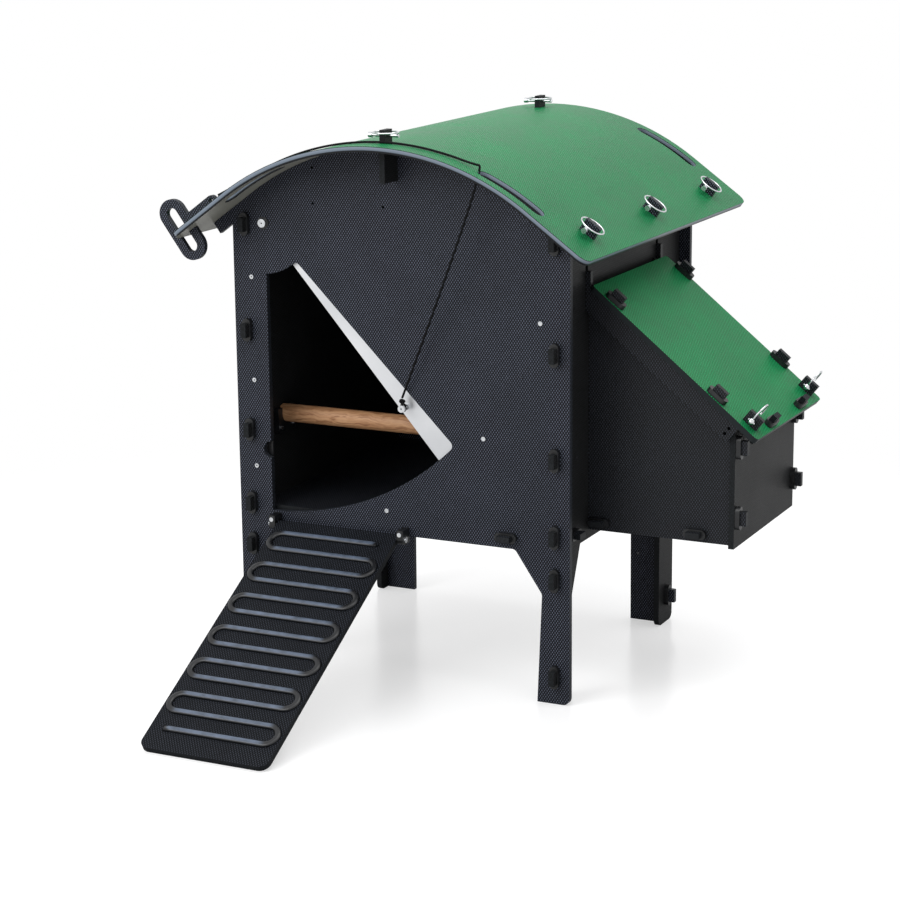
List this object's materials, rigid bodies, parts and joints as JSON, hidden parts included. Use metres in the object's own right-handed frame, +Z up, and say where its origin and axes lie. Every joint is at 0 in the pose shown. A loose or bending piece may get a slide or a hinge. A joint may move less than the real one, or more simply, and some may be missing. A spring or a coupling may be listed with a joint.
{
  "type": "chicken coop",
  "caption": "Raised chicken coop of black slotted sheet panels with a curved green roof, a lidded nest box, a sector door lifted by a cord and a sloping ramp.",
  "frame": {"origin": "Centre of the footprint of the rigid parts, on the ground the coop stands on.", "axes": "X runs across the front towards the nest box, Y from the front panel to the rear, Z up."},
  "size_m": [1.0592, 1.1838, 0.9897],
  "materials": {
    "panel_black": "fine dimpled recycled plastic sheet, matt, smooth cut edges",
    "roof_green": "green plastic sheet with fine parallel lines, satin",
    "clip_black": "moulded black plastic, lightly textured",
    "zinc_steel": "bright zinc plated steel",
    "door_aluminium": "mill finish sheet, soft reflections",
    "perch_wood": "planed round softwood, unvarnished",
    "cord_black": "braided polyester cord"
  },
  "bodies": {
    "coop": {"front_panel": "panel_black", "rear_panel": "panel_black", "rear_leg_frame": "panel_black", "left_side_panel": "panel_black", "right_side_panel": "panel_black", "floor_panel": "panel_black", "roof_sheet": "roof_green", "ridge_beam": "panel_black", "roof_rib": "panel_black", "nest_front_wall": "panel_black", "nest_rear_wall": "panel_black", "nest_end_panel": "panel_black", "nest_floor": "panel_black", "nest_lid": "roof_green", "nest_lid_front_rail": "panel_black", "nest_lid_rear_rail": "panel_black", "nest_lid_lip": "panel_black", "front_clips": "clip_black", "rear_clips": "clip_black", "right_side_clips": "clip_black", "left_side_clips": "clip_black", "nest_front_clips": "clip_black", "nest_rear_clips": "clip_black", "nest_end_clips": "clip_black", "nest_inner_clips": "clip_black", "nest_lid_clips": "clip_black", "roof_linch_pins": "zinc_steel", "roof_linch_rings": "zinc_steel", "lid_front_pin": "zinc_steel", "lid_rear_pin": "zinc_steel", "door_pivot_bolt": "zinc_steel", "door_pivot_washers": "zinc_steel", "door_pivot_nut": "zinc_steel", "door_left_guide": "clip_black", "door_arc_guide": "clip_black", "guide_screws": "zinc_steel", "guide_nuts": "zinc_steel", "ramp_lug_screws": "zinc_steel", "ramp_hinge_lugs": "clip_black", "ramp_hinge_pins": "zinc_steel", "perch": "perch_wood", "perch_cradles": "clip_black", "perch_cradle_screws": "zinc_steel", "door_cord": "cord_black"},
    "door_blade": {"door": "door_aluminium", "door_lift_screw": "zinc_steel", "door_lift_nuts": "zinc_steel", "door_cord_knot": "cord_black"},
    "ramp_board": {"ramp": "panel_black"},
    "front_pin_ring": {"lid_front_ring": "zinc_steel"},
    "rear_pin_ring": {"lid_rear_ring": "zinc_steel"},
    "handle": {"cord_handle": "clip_black"}
  },
  "joints": [
    {"name": "door_swing", "type": "hinge", "parent": "coop", "child": "door_blade", "pos_m": [-0.3602, -0.08135, 0.8123], "axis": [0, 1, 0], "range_deg": [0, 40.2]},
    {"name": "ramp_hinge", "type": "hinge", "parent": "coop", "child": "ramp_board", "pos_m": [-0.2146, -0.11105, 0.2698], "axis": [-1, 0, 0], "range_deg": [0, 50]},
    {"name": "front_ring_flip", "type": "hinge", "parent": "coop", "child": "front_pin_ring", "pos_m": [0.50662, 0.0289, 0.50699], "axis": [0.7771, 0, -0.6293], "range_deg": [0, 80]},
    {"name": "rear_ring_flip", "type": "hinge", "parent": "coop", "child": "rear_pin_ring", "pos_m": [0.50662, 0.3299, 0.50699], "axis": [0.7771, 0, -0.6293], "range_deg": [0, 80]},
    {"name": "handle_unhook", "type": "slide", "parent": "coop", "child": "handle", "axis": [-0.809, 0, -0.5878], "range_m": [0, 0.045]}
  ]
}
